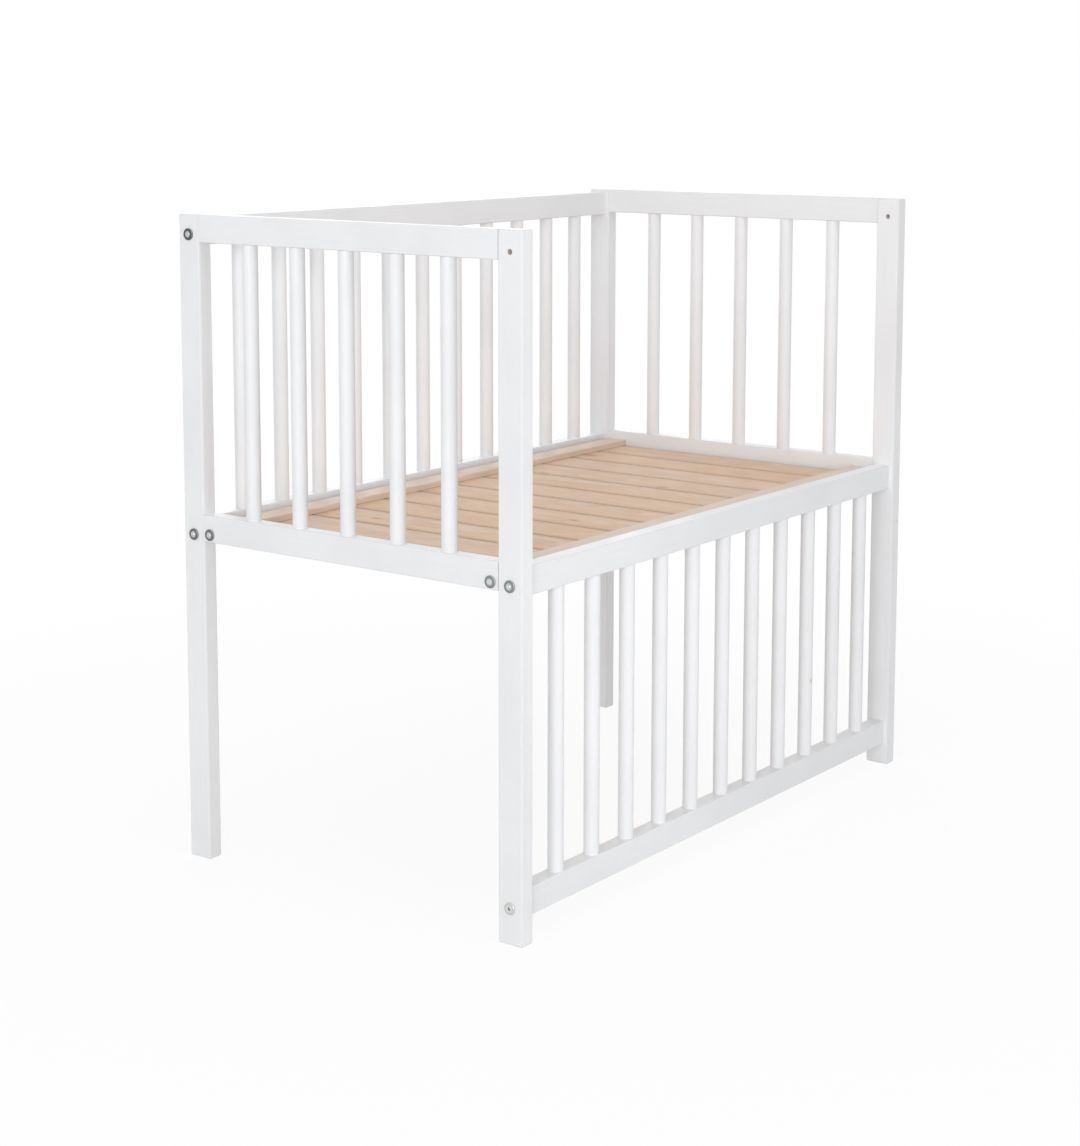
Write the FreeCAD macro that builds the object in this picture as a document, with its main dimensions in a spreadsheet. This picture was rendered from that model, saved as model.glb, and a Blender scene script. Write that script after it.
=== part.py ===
import FreeCAD, Part
import Sketcher
import math
import os

# Bedside sleeper crib: two end frames with round spindles, a back panel bolted high,
# the same panel bolted low at the open front, and a slatted base between the end frames.
# Frame: +Z up, X along the crib, Y across it with the open front at -Y,
# origin on the floor at the centre of the footprint. All sizes in millimetres.

SIZES = [
    # posts and overall clear sizes
    ("clear_length", 900.0, "between the inner faces of the posts, lengthwise"),
    ("clear_width", 500.0, "between the inner faces of the two side panels"),
    ("post_height", 860.0, "height of the four posts"),
    ("post_x", 22.0, "post thickness along the crib"),
    ("post_y", 36.0, "post depth across the crib"),
    ("post_round", 2.5, "rounding of the post's edges"),
    # rails
    ("rail_height", 36.0, "height of every rail"),
    ("panel_rail_y", 22.0, "thickness of the side panels' rails"),
    ("panel_setback", 7.0, "side rail's outer face behind the post's outer face"),
    ("end_rail_x", 20.0, "thickness of the end frames' rails"),
    ("rail_round", 1.5, "rounding of the rails' long edges"),
    # stub tenons of the end rails
    ("stub_length", 12.0, "stub tenon of an end rail, into the post"),
    ("stub_x", 10.0, "stub tenon thickness"),
    ("stub_shoulder", 5.0, "shoulder above and below the stub tenon"),
    ("stub_fit", 0.1, "clearance on each side of a stub tenon"),
    ("stub_end_gap", 0.5, "free depth behind a stub tenon"),
    # spindles
    ("spindle_dia", 20.0, "round spindle"),
    ("pin_dia", 14.0, "turned pin at each end of a spindle"),
    ("pin_length", 14.0, "length of that pin"),
    ("pin_chamfer", 1.0, "chamfer at the pin's end"),
    ("pin_fit", 0.1, "radial clearance of a pin in its bore"),
    ("pin_end_gap", 1.0, "free depth behind a pin"),
    ("panel_spindles", 11, "spindles in a side panel"),
    ("end_spindles", 5, "spindles in an end frame"),
    ("first_spindle", 70.0, "post face to the first spindle's axis in a side panel"),
    # levels
    ("low_bolt_z", 46.0, "lowest bolt hole above the floor"),
    ("top_bolt_drop", 26.0, "uppermost bolt hole below the post's top"),
    ("bolt_in_rail", 14.0, "panel bolt's axis above the rail's lower face"),
    ("base_above_mid", 2.0, "base bolts above the middle panel bolts"),
    ("base_in_rail", 10.0, "base bolt's axis above the end rail's lower face"),
    # slatted base
    ("bar_width", 35.0, "width of the base's side bars"),
    ("bar_height", 26.0, "height of the base's side bars"),
    ("bar_round", 1.5, "rounding of the bars' long edges"),
    ("bar_post_gap", 0.5, "gap between a bar's outer face and the posts' inner sides"),
    ("slats", 12, "number of slats"),
    ("slat_gap", 4.0, "gap between slats, and beside the end rails"),
    ("slat_thick", 10.0, "slat thickness"),
    ("slat_drop", 9.0, "slat's top below the bar's top"),
    ("slat_seat", 9.0, "slat's end inside the bar's groove"),
    ("slat_round", 1.5, "rounding of the slats' upper edges"),
    ("groove_play", 0.4, "groove height beyond the slat's thickness"),
    ("groove_end_gap", 1.0, "free depth behind a slat's end"),
    ("base_bolt_inset", 10.5, "base bolt's axis inside the bar's outer face"),
    # connector bolts and barrel nuts
    ("bolt_dia", 6.0, "shank"),
    ("bolt_play", 0.5, "radial clearance of a shank in wood"),
    ("head_dia", 15.5, "flat bolt head"),
    ("head_height", 2.4, "head thickness"),
    ("head_chamfer", 0.7, "chamfer of the head's rim"),
    ("bolt_reach", 58.0, "head's seat to the barrel nut's axis"),
    ("bolt_tail", 8.0, "shank beyond the nut's axis"),
    ("socket_flats", 4.0, "hexagon socket across flats"),
    ("socket_depth", 3.2, "hexagon socket depth"),
    ("nut_dia", 10.0, "barrel nut"),
    ("nut_length", 16.0, "barrel nut length"),
    ("nut_fit", 0.1, "radial clearance of a barrel nut"),
    ("nut_thread_fit", 0.1, "radial clearance of the shank in the nut"),
    ("nut_head_room", 1.0, "bore above the barrel nut"),
    ("nut_slot_width", 1.4, "turning slot in the nut's lower end"),
    ("nut_slot_depth", 1.6, "depth of that slot"),
    ("blind_depth", 14.0, "blind hole low in the rear posts' inner faces"),
]

doc = FreeCAD.newDocument("bedside_crib")
sheet = doc.addObject("Spreadsheet::Sheet", "dims")
for row, (alias, number, note) in enumerate(SIZES, start=1):
    sheet.set("A%d" % row, note)
    sheet.set("B%d" % row, "%g" % number)
    sheet.setAlias("B%d" % row, alias)
doc.recompute()


def rel(text):
    """Write a relation between named sizes as an expression on the sheet."""
    for alias, _, _ in sorted(SIZES, key=lambda entry: -len(entry[0])):
        text = text.replace("@" + alias + "@", "dims." + alias)
    return text


# Relations that several pieces share.
HALF_X = rel("(@clear_length@ / 2 + @post_x@)")          # outer face of an end frame
HALF_Y = rel("(@clear_width@ / 2 + @panel_rail_y@ + @panel_setback@)")  # outer post face
POST_X = rel("(@clear_length@ / 2 + @post_x@ / 2)")      # post axis
POST_Y = "(%s - dims.post_y / 2)" % HALF_Y
END_CLEAR = "(2 * (%s - dims.post_y))" % HALF_Y          # between posts of an end frame
END_RAIL_X = "(%s - dims.end_rail_x / 2)" % HALF_X       # end rail flush with the post
BAR_LENGTH = "(2 * (%s - dims.end_rail_x))" % HALF_X     # between the end rails
PANEL_Y = rel("(@clear_width@ / 2 + @panel_rail_y@ / 2)")
LOW_Z = rel("@low_bolt_z@")
TOP_Z = rel("(@post_height@ - @top_bolt_drop@)")
MID_Z = "((%s + %s) / 2)" % (LOW_Z, TOP_Z)               # the three levels are evenly spaced
BOLT_RISE = "(%s - %s)" % (TOP_Z, MID_Z)
BASE_Z = rel("(%s + @base_above_mid@)" % MID_Z)
END_LOW_Z = rel("(%s - @base_in_rail@ + @rail_height@ / 2)" % BASE_Z)
END_TOP_Z = rel("(@post_height@ - @rail_height@ / 2)")
BAR_OUTER_Y = rel("(%s / 2 - @bar_post_gap@)" % END_CLEAR)
BAR_Y = rel("(%s - @bar_width@ / 2)" % BAR_OUTER_Y)
BASE_BOLT_Y = rel("(%s - @base_bolt_inset@)" % BAR_OUTER_Y)
SLAT_TOP = rel("(%s + @bar_height@ / 2 - @slat_drop@)" % BASE_Z)
SLAT_PITCH = "((%s - dims.slat_gap) / dims.slats)" % BAR_LENGTH
PANEL_SPAN = rel("(@clear_length@ - 2 * @first_spindle@)")
END_SPAN = "(%s * (dims.end_spindles - 1) / (dims.end_spindles + 1))" % END_CLEAR
BOLT_BORE = rel("(@bolt_dia@ + 2 * @bolt_play@)")
NUT_BORE = rel("(@nut_dia@ + 2 * @nut_fit@)")
PIN_BORE = rel("(@pin_dia@ + 2 * @pin_fit@)")
PIN_DEPTH = rel("(@pin_length@ + @pin_end_gap@)")


# ---------------------------------------------------------------- helpers
def bind(thing, **relations):
    for prop, text in relations.items():
        thing.setExpression(prop.replace("__", "."), text)


def new_body(label, x="0", y="0", z="0"):
    body = doc.addObject("PartDesign::Body", label)
    body.Label = label
    bind(body, Placement__Base__x=x, Placement__Base__y=y, Placement__Base__z=z)
    return body


def plane_of(body, role):
    return [f for f in body.Origin.OriginFeatures if f.Role == role][0]


def new_sketch(body, name, role, across="0", up="0", out="0"):
    """Sketch on a body plane; the offsets are along the sketch's own x, y and normal."""
    sk = body.newObject("Sketcher::SketchObject", body.Name + "_" + name)
    sk.AttachmentSupport = [(plane_of(body, role), "")]
    sk.MapMode = "FlatFace"
    bind(sk, AttachmentOffset__Base__x=across, AttachmentOffset__Base__y=up,
         AttachmentOffset__Base__z=out)
    return sk


def rectangle(sk, wide, high):
    corners = [FreeCAD.Vector(x, y, 0) for x, y in ((-5, -5), (5, -5), (5, 5), (-5, 5))]
    for k in range(4):
        sk.addGeometry(Part.LineSegment(corners[k], corners[(k + 1) % 4]), False)
    for k in range(4):
        sk.addConstraint(Sketcher.Constraint("Coincident", k, 2, (k + 1) % 4, 1))
        sk.addConstraint(Sketcher.Constraint("Vertical" if k % 2 else "Horizontal", k))
    sk.addConstraint(Sketcher.Constraint("Symmetric", 0, 1, 2, 1, -1, 1))
    for name, kind, line, text in (("wide", "DistanceX", 0, wide), ("high", "DistanceY", 1, high)):
        index = sk.addConstraint(Sketcher.Constraint(kind, line, 1, line, 2, 10.0))
        sk.renameConstraint(index, name)
        sk.setExpression("Constraints." + name, text)
    return sk


def circle(sk, diameter):
    sk.addGeometry(Part.Circle(FreeCAD.Vector(0, 0, 0), FreeCAD.Vector(0, 0, 1), 5.0), False)
    sk.addConstraint(Sketcher.Constraint("Coincident", 0, 3, -1, 1))
    index = sk.addConstraint(Sketcher.Constraint("Diameter", 0, 10.0))
    sk.renameConstraint(index, "bore")
    sk.setExpression("Constraints.bore", diameter)
    return sk


def hexagon(sk, flats):
    """Regular hexagon on a construction circle, sized across its flats."""
    r = 3.0
    tips = [FreeCAD.Vector(r * math.cos(math.radians(60 * k)), r * math.sin(math.radians(60 * k)), 0)
            for k in range(6)]
    for k in range(6):
        sk.addGeometry(Part.LineSegment(tips[k], tips[(k + 1) % 6]), False)
    sk.addGeometry(Part.Circle(FreeCAD.Vector(0, 0, 0), FreeCAD.Vector(0, 0, 1), r), True)
    for k in range(6):
        sk.addConstraint(Sketcher.Constraint("Coincident", k, 2, (k + 1) % 6, 1))
        sk.addConstraint(Sketcher.Constraint("PointOnObject", k, 1, 6))
        if k:
            sk.addConstraint(Sketcher.Constraint("Equal", 0, k))
    sk.addConstraint(Sketcher.Constraint("Coincident", 6, 3, -1, 1))
    sk.addConstraint(Sketcher.Constraint("PointOnObject", 0, 1, -1))
    index = sk.addConstraint(Sketcher.Constraint("Diameter", 6, 2 * r))
    sk.renameConstraint(index, "corners")
    sk.setExpression("Constraints.corners", "2 * (%s) / sqrt(3)" % flats)
    return sk


def pad(body, name, sk, length, centred=True, reverse=False):
    feature = body.newObject("PartDesign::Pad", body.Name + "_" + name)
    feature.Profile = sk
    feature.Midplane = centred
    feature.Reversed = reverse
    bind(feature, Length=length)
    doc.recompute()
    return feature


def pocket(body, name, sk, depth=None, reverse=False):
    """Cut a sketch to a depth, or right through both ways when no depth is given."""
    before = body.Tip.Shape.Volume
    feature = body.newObject("PartDesign::Pocket", body.Name + "_" + name)
    feature.Profile = sk
    feature.Reversed = reverse
    if depth is None:
        feature.Type = 1
        feature.Midplane = True
    else:
        bind(feature, Length=depth)
    doc.recompute()
    if not feature.Shape.Volume < before - 1e-3:
        raise RuntimeError(feature.Name + " cuts nothing")
    return feature


def long_edges(feature, axis):
    """Names of the straight edges of a feature that run along one axis."""
    names = []
    for number, edge in enumerate(feature.Shape.Edges, start=1):
        run = edge.Vertexes[-1].Point - edge.Vertexes[0].Point
        if abs(abs(run[axis]) - run.Length) < 1e-6:
            names.append("Edge%d" % number)
    return names


def circle_edges(feature):
    return ["Edge%d" % number for number, edge in enumerate(feature.Shape.Edges, start=1)
            if edge.Curve.TypeId == "Part::GeomCircle"]


def rounded(body, base, edges, radius):
    feature = body.newObject("PartDesign::Fillet", body.Name + "_round")
    feature.Base = (base, edges)
    bind(feature, Radius=radius)
    doc.recompute()
    return feature


def chamfered(body, base, edges, size):
    feature = body.newObject("PartDesign::Chamfer", body.Name + "_chamfer")
    feature.Base = (base, edges)
    bind(feature, Size=size)
    doc.recompute()
    return feature


def row_of(body, first, axis, span, count):
    """Repeat a cut along an origin axis of its body."""
    feature = body.newObject("PartDesign::LinearPattern", first.Name + "_row")
    feature.Originals = [first]
    feature.Direction = (plane_of(body, axis), [""])
    bind(feature, Length=span, Occurrences=count)
    body.Tip = feature
    doc.recompute()
    return feature


def both_ends(body, cuts, role):
    feature = body.newObject("PartDesign::Mirrored", body.Name + "_both_ends")
    feature.Originals = cuts
    feature.MirrorPlane = (plane_of(body, role), [""])
    body.Tip = feature
    doc.recompute()
    return feature


# ---------------------------------------------------------------- posts
def make_post(label, end, side):
    """Post at end -1/+1 (X) and side -1/+1 (Y), standing on the floor."""
    body = new_body(label, "%d * %s" % (end, POST_X), "%d * %s" % (side, POST_Y))
    section = rectangle(new_sketch(body, "section", "XY_Plane"), rel("@post_x@"), rel("@post_y@"))
    shaft = pad(body, "shaft", section, rel("@post_height@"), centred=False)
    edges = ["Edge%d" % n for n in range(1, len(shaft.Shape.Edges) + 1)]
    rounded(body, shaft, edges, rel("@post_round@"))
    # mortises for the end rails' stub tenons, in the face towards the other post
    for name, level in (("low_mortise", END_LOW_Z), ("top_mortise", END_TOP_Z)):
        sk = new_sketch(body, name, "XZ_Plane",
                        across=rel("%d * (@post_x@ - @end_rail_x@) / 2" % end), up=level,
                        out=rel("%d * @post_y@ / 2" % side))
        rectangle(sk, rel("@stub_x@ + 2 * @stub_fit@"),
                  rel("@rail_height@ - 2 * @stub_shoulder@ + 2 * @stub_fit@"))
        pocket(body, name + "_cut", sk, rel("@stub_length@ + @stub_end_gap@"), reverse=side < 0)
    # holes for the panel bolts: the rear panel hangs high, the front one low
    levels = [("mid_hole", MID_Z), ("top_hole", TOP_Z)]
    if side < 0:
        levels.append(("low_hole", LOW_Z))
    for name, level in levels:
        sk = circle(new_sketch(body, name, "YZ_Plane", up=level), BOLT_BORE)
        pocket(body, name + "_cut", sk)
    if side > 0:
        # the rear posts' lowest hole is blind, open to the inside only
        sk = circle(new_sketch(body, "blind_hole", "YZ_Plane", up=LOW_Z,
                               out=rel("%d * @post_x@ / 2" % -end)), BOLT_BORE)
        pocket(body, "blind_hole_cut", sk, rel("@blind_depth@"), reverse=end > 0)
    return body


# ---------------------------------------------------------------- rails
def make_panel_rail(label, side, bolt_level, spindles_up):
    """Side panel rail between two posts, drilled for its spindles and its two bolts."""
    body = new_body(label, "0", "%d * %s" % (side, PANEL_Y),
                    rel("%s - @bolt_in_rail@ + @rail_height@ / 2" % bolt_level))
    section = rectangle(new_sketch(body, "section", "YZ_Plane"),
                        rel("@panel_rail_y@"), rel("@rail_height@"))
    plank = pad(body, "plank", section, rel("@clear_length@"))
    rounded(body, plank, long_edges(plank, 0), rel("@rail_round@"))
    up = 1 if spindles_up else -1
    sk = circle(new_sketch(body, "pin_bore", "XY_Plane", across="-%s / 2" % PANEL_SPAN,
                           out=rel("%d * @rail_height@ / 2" % up)), PIN_BORE)
    first = pocket(body, "pin_bore_cut", sk, PIN_DEPTH, reverse=not spindles_up)
    row_of(body, first, "X_Axis", PANEL_SPAN, rel("@panel_spindles@"))
    axis_z = rel("@bolt_in_rail@ - @rail_height@ / 2")
    sk = circle(new_sketch(body, "bolt_bore", "YZ_Plane", up=axis_z,
                           out=rel("@clear_length@ / 2")), BOLT_BORE)
    bolt = pocket(body, "bolt_bore_cut", sk,
                  rel("@bolt_reach@ - @post_x@ + @bolt_tail@ + @nut_head_room@"))
    sk = circle(new_sketch(body, "nut_bore", "XY_Plane",
                           across=rel("@clear_length@ / 2 - @bolt_reach@ + @post_x@"),
                           out=rel("-@rail_height@ / 2")), NUT_BORE)
    nut = pocket(body, "nut_bore_cut", sk,
                 rel("@bolt_in_rail@ + @nut_length@ / 2 + @nut_head_room@"), reverse=True)
    both_ends(body, [bolt, nut], "YZ_Plane")
    return body


def make_end_rail(label, end, level, spindles_up, carries_base):
    """End frame rail with a stub tenon at both ends, flush with the posts outside."""
    body = new_body(label, "%d * %s" % (end, END_RAIL_X), "0", level)
    section = rectangle(new_sketch(body, "section", "XZ_Plane"),
                        rel("@end_rail_x@"), rel("@rail_height@"))
    plank = pad(body, "plank", section, END_CLEAR)
    rounded(body, plank, long_edges(plank, 1), rel("@rail_round@"))
    stub = rectangle(new_sketch(body, "stub", "XZ_Plane"), rel("@stub_x@"),
                     rel("@rail_height@ - 2 * @stub_shoulder@"))
    pad(body, "stubs", stub, rel("%s + 2 * @stub_length@" % END_CLEAR))
    up = 1 if spindles_up else -1
    sk = circle(new_sketch(body, "pin_bore", "XY_Plane", up="-%s / 2" % END_SPAN,
                           out=rel("%d * @rail_height@ / 2" % up)), PIN_BORE)
    first = pocket(body, "pin_bore_cut", sk, PIN_DEPTH, reverse=not spindles_up)
    row_of(body, first, "Y_Axis", END_SPAN, rel("@end_spindles@"))
    if carries_base:
        sk = circle(new_sketch(body, "base_hole", "YZ_Plane", across=BASE_BOLT_Y,
                               up=rel("@base_in_rail@ - @rail_height@ / 2")), BOLT_BORE)
        hole = pocket(body, "base_hole_cut", sk)
        both_ends(body, [hole], "XZ_Plane")
    return body


# ---------------------------------------------------------------- spindles
def make_spindle(label, x, y, z, clear_height):
    """Turned spindle between two rails, with a pin at each end; z is its lower shoulder."""
    body = new_body(label, x, y, z)
    for name, diameter, low, height in (
            ("pins", rel("@pin_dia@"), rel("-@pin_length@"),
             rel("%s + 2 * @pin_length@" % clear_height)),
            ("rod", rel("@spindle_dia@"), "0", clear_height)):
        rod = body.newObject("PartDesign::AdditiveCylinder", body.Name + "_" + name)
        bind(rod, Radius="%s / 2" % diameter, Height=height, Placement__Base__z=low)
        doc.recompute()
        if name == "pins":
            chamfered(body, rod, circle_edges(rod), rel("@pin_chamfer@"))
    return body


# ---------------------------------------------------------------- slatted base
def make_base_bar(label, side):
    """Side bar of the base: grooved for the slats, bolted to both end frames."""
    body = new_body(label, "0", "%d * %s" % (side, BAR_Y), BASE_Z)
    section = rectangle(new_sketch(body, "section", "YZ_Plane"),
                        rel("@bar_width@"), rel("@bar_height@"))
    plank = pad(body, "plank", section, BAR_LENGTH)
    rounded(body, plank, long_edges(plank, 0), rel("@bar_round@"))
    depth = rel("(@slat_seat@ + @groove_end_gap@)")
    sk = new_sketch(body, "groove", "YZ_Plane",
                    across=rel("%d * (@bar_width@ / 2 - %s / 2)" % (-side, depth)),
                    up=rel("@bar_height@ / 2 - @slat_drop@ - @slat_thick@ / 2 + @groove_play@ / 2"))
    rectangle(sk, depth, rel("@slat_thick@ + @groove_play@"))
    pocket(body, "groove_cut", sk)
    across = rel("%d * (@bar_width@ / 2 - @base_bolt_inset@)" % side)
    sk = circle(new_sketch(body, "bolt_bore", "YZ_Plane", across=across,
                           out="%s / 2" % BAR_LENGTH), BOLT_BORE)
    bolt = pocket(body, "bolt_bore_cut", sk,
                  rel("@bolt_reach@ - @end_rail_x@ + @bolt_tail@ + @nut_head_room@"))
    sk = circle(new_sketch(body, "nut_bore", "XY_Plane",
                           across=rel("%s / 2 - @bolt_reach@ + @end_rail_x@" % BAR_LENGTH),
                           up=across, out=rel("-@bar_height@ / 2")), NUT_BORE)
    nut = pocket(body, "nut_bore_cut", sk,
                 rel("@bar_height@ / 2 + @nut_length@ / 2 + @nut_head_room@"), reverse=True)
    both_ends(body, [bolt, nut], "YZ_Plane")
    return body


def make_slat(label, number):
    """Slat number 0, 1, 2 ... from the -X end, lying in the grooves of both bars."""
    body = new_body(label, "(%d - (dims.slats - 1) / 2) * %s" % (number, SLAT_PITCH), "0",
                    rel("%s - @slat_thick@ / 2" % SLAT_TOP))
    section = rectangle(new_sketch(body, "section", "XZ_Plane"),
                        rel("%s - @slat_gap@" % SLAT_PITCH), rel("@slat_thick@"))
    board = pad(body, "board", section, rel("2 * (%s - @bar_width@ / 2 + @slat_seat@)" % BAR_Y))
    upper = [name for name in long_edges(board, 1)
             if board.Shape.getElement(name).CenterOfMass.z > 0]
    rounded(body, board, upper, rel("@slat_round@"))
    return body


# ---------------------------------------------------------------- hardware
def make_bolt_master():
    """Connector bolt along -X to +X: the head's seat is at x = 0, the head at x < 0."""
    body = new_body("bolt_master")
    disc = circle(new_sketch(body, "disc", "YZ_Plane"), rel("@head_dia@"))
    head = pad(body, "head", disc, rel("@head_height@"), centred=False, reverse=True)
    rim = [name for name in circle_edges(head) if head.Shape.getElement(name).CenterOfMass.x < 0]
    chamfered(body, head, rim, rel("@head_chamfer@"))
    core = circle(new_sketch(body, "core", "YZ_Plane"), rel("@bolt_dia@"))
    pad(body, "shank", core, rel("@bolt_reach@ + @bolt_tail@"), centred=False)
    sk = hexagon(new_sketch(body, "socket", "YZ_Plane", out=rel("-@head_height@")),
                 rel("@socket_flats@"))
    pocket(body, "socket_cut", sk, rel("@socket_depth@"), reverse=True)
    return body


def make_nut_master():
    """Barrel nut standing along Z, its cross hole along X through the origin."""
    body = new_body("nut_master")
    disc = circle(new_sketch(body, "disc", "XY_Plane"), rel("@nut_dia@"))
    pad(body, "barrel", disc, rel("@nut_length@"))
    sk = circle(new_sketch(body, "thread", "YZ_Plane"), rel("@bolt_dia@ + 2 * @nut_thread_fit@"))
    pocket(body, "thread_cut", sk)
    sk = rectangle(new_sketch(body, "slot", "XY_Plane", out=rel("-@nut_length@ / 2")),
                   rel("@nut_dia@ + 2 * @nut_fit@"), rel("@nut_slot_width@"))
    pocket(body, "slot_cut", sk, rel("@nut_slot_depth@"), reverse=True)
    return body


def hardware_places():
    """Where each connector bolt seats: which end, y and level."""
    places = []
    for end in (-1, 1):
        places.append((end, POST_Y, TOP_Z))
        places.append((end, POST_Y, MID_Z))
        places.append((end, BASE_BOLT_Y, BASE_Z))
        places.append((end, "-" + BASE_BOLT_Y, BASE_Z))
        places.append((end, "-" + POST_Y, MID_Z))
        places.append((end, "-" + POST_Y, LOW_Z))
    return places


def make_set(label, master, reach):
    """One node of identical pieces: a copy of the master at each bolt, reach inwards."""
    copies = []
    for number, (end, y, z) in enumerate(hardware_places(), start=1):
        copy = doc.addObject("App::Link", "%s_%02d" % (label, number))
        copy.LinkedObject = master
        turn = FreeCAD.Rotation(FreeCAD.Vector(0, 0, 1), 180 if end > 0 else 0)
        copy.LinkPlacement = FreeCAD.Placement(FreeCAD.Vector(0, 0, 0), turn)
        bind(copy, LinkPlacement__Base__x="%d * (%s - %s)" % (end, HALF_X, reach),
             LinkPlacement__Base__y=y, LinkPlacement__Base__z=z)
        copies.append(copy)
    whole = doc.addObject("Part::Compound", label)
    whole.Label = label
    whole.Links = copies
    doc.recompute()
    return whole


# ---------------------------------------------------------------- the crib
nodes = []
ENDS = ((-1, "left"), (1, "right"))
SIDES = ((-1, "front"), (1, "rear"))

for side, side_name in SIDES:
    for end, end_name in ENDS:
        nodes.append(make_post("%s_%s_post" % (side_name, end_name), end, side))

end_clear_height = rel("(%s - %s - @rail_height@)" % (END_TOP_Z, END_LOW_Z))
for end, end_name in ENDS:
    nodes.append(make_end_rail(end_name + "_end_top_rail", end, END_TOP_Z, False, False))
    nodes.append(make_end_rail(end_name + "_end_lower_rail", end, END_LOW_Z, True, True))
    for k in range(int(sheet.end_spindles)):
        place = "(%d / (dims.end_spindles - 1) - 0.5) * %s" % (k, END_SPAN)
        nodes.append(make_spindle("%s_end_spindle_%02d" % (end_name, k + 1),
                                  "%d * %s" % (end, END_RAIL_X), place,
                                  rel("%s + @rail_height@ / 2" % END_LOW_Z), end_clear_height))

panel_clear_height = rel("(%s - @rail_height@)" % BOLT_RISE)
for side, panel, low, high in ((-1, "front_panel", LOW_Z, MID_Z), (1, "back_panel", MID_Z, TOP_Z)):
    nodes.append(make_panel_rail(panel + "_top_rail", side, high, False))
    nodes.append(make_panel_rail(panel + "_lower_rail", side, low, True))
    for k in range(int(sheet.panel_spindles)):
        place = "(%d / (dims.panel_spindles - 1) - 0.5) * %s" % (k, PANEL_SPAN)
        nodes.append(make_spindle("%s_spindle_%02d" % (panel, k + 1), place,
                                  "%d * %s" % (side, PANEL_Y),
                                  rel("%s - @bolt_in_rail@ + @rail_height@" % low),
                                  panel_clear_height))

for side, side_name in SIDES:
    nodes.append(make_base_bar("base_%s_bar" % side_name, side))
for k in range(int(sheet.slats)):
    nodes.append(make_slat("base_slat_%02d" % (k + 1), k))

nodes.append(make_set("connector_bolts", make_bolt_master(), "0"))
nodes.append(make_set("barrel_nuts", make_nut_master(), "dims.bolt_reach"))

doc.recompute()

# ---------------------------------------------------------------- checks and files
for thing in doc.Objects:
    if "Invalid" in thing.State or "Error" in thing.State:
        raise RuntimeError("%s is %s" % (thing.Name, thing.State))

expected = {"connector_bolts": len(hardware_places()), "barrel_nuts": len(hardware_places())}
os.makedirs("parts", exist_ok=True)
for node in nodes:
    shape = node.Shape
    if shape.isNull() or not shape.isValid():
        raise RuntimeError(node.Label + " has no valid shape")
    if len(shape.Solids) != expected.get(node.Label, 1):
        raise RuntimeError("%s has %d solids" % (node.Label, len(shape.Solids)))
for node in nodes:
    node.Shape.exportStep("parts/%s.step" % node.Label)

box = FreeCAD.BoundBox()
for node in nodes:
    box.add(node.Shape.BoundBox)
print("nodes %d" % len(nodes))
print("overall %.1f x %.1f x %.1f mm" % (box.XLength, box.YLength, box.ZLength))
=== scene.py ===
# %% [markdown]
# # A bedside sleeper crib in white lacquer and natural wood
#
# The crib is a knock-down frame: two end frames with round spindles, a side panel bolted high
# at the back, the same panel bolted low at the front, and a slatted base between them. Its
# shapes come ready from the engineering model. This lesson gives them their finishes, makes
# the bolts, whose small forms matter most, and lights the crib like a catalogue photograph.

# %% Load the crib
import bpy
import bmesh
import math
import random
from mathutils import Matrix, Vector


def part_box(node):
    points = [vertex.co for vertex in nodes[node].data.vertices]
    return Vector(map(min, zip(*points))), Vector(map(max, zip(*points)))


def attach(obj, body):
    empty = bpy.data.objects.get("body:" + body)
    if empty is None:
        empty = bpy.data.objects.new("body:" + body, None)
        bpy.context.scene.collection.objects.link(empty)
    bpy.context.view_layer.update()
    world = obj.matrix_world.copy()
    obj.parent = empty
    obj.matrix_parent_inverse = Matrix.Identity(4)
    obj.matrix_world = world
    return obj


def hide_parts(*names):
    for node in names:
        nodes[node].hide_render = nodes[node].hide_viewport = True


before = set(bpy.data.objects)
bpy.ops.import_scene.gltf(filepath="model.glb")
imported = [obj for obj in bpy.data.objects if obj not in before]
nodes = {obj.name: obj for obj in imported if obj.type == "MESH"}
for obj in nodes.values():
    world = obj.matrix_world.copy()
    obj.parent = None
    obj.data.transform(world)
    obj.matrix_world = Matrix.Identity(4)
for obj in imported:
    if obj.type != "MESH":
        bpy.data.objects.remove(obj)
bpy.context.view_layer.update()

# %% [markdown]
# ## The camera
#
# The photograph was taken from beyond the near left corner, a little above the top rails, with
# a long lens. Place, direction and lens were worked out from the crib's own edges. Tilting a
# camera down makes uprights lean, so a photographer keeps it nearly level and shifts the lens.
# The photograph has such a shift. Here the camera tilts a little and shifts only as much as the
# picture needs, so that a view from another side still frames the whole crib.

# %% Camera
CAMERA_PLACE = (-2.5187, -1.8267, 1.0190)   # metres
CAMERA_TURN = -53.364                       # degrees from +Y, about the vertical
CAMERA_TILT = -7.385                        # degrees, downwards
CAMERA_ROLL = 0.069                         # degrees
CAMERA_SENSOR = 36.0                        # millimetres
CAMERA_LENS = 70.238                        # millimetres
CAMERA_SHIFT_UP = -0.1684                   # share of the picture's longer side

lens = bpy.data.cameras.new("camera")
lens.sensor_width = CAMERA_SENSOR
lens.lens = CAMERA_LENS
lens.shift_y = CAMERA_SHIFT_UP
camera = bpy.data.objects.new("camera", lens)
bpy.context.scene.collection.objects.link(camera)
turn = Matrix.Rotation(math.radians(CAMERA_TURN), 4, "Z")
tilt = Matrix.Rotation(math.radians(90 + CAMERA_TILT), 4, "X")
roll = Matrix.Rotation(math.radians(CAMERA_ROLL), 4, "Z")
camera.matrix_world = Matrix.Translation(CAMERA_PLACE) @ turn @ tilt @ roll
bpy.context.scene.camera = camera
bpy.context.scene.view_settings.view_transform = "Standard"
print("camera", round(Vector(CAMERA_PLACE).length, 2), "m from the origin")

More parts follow.
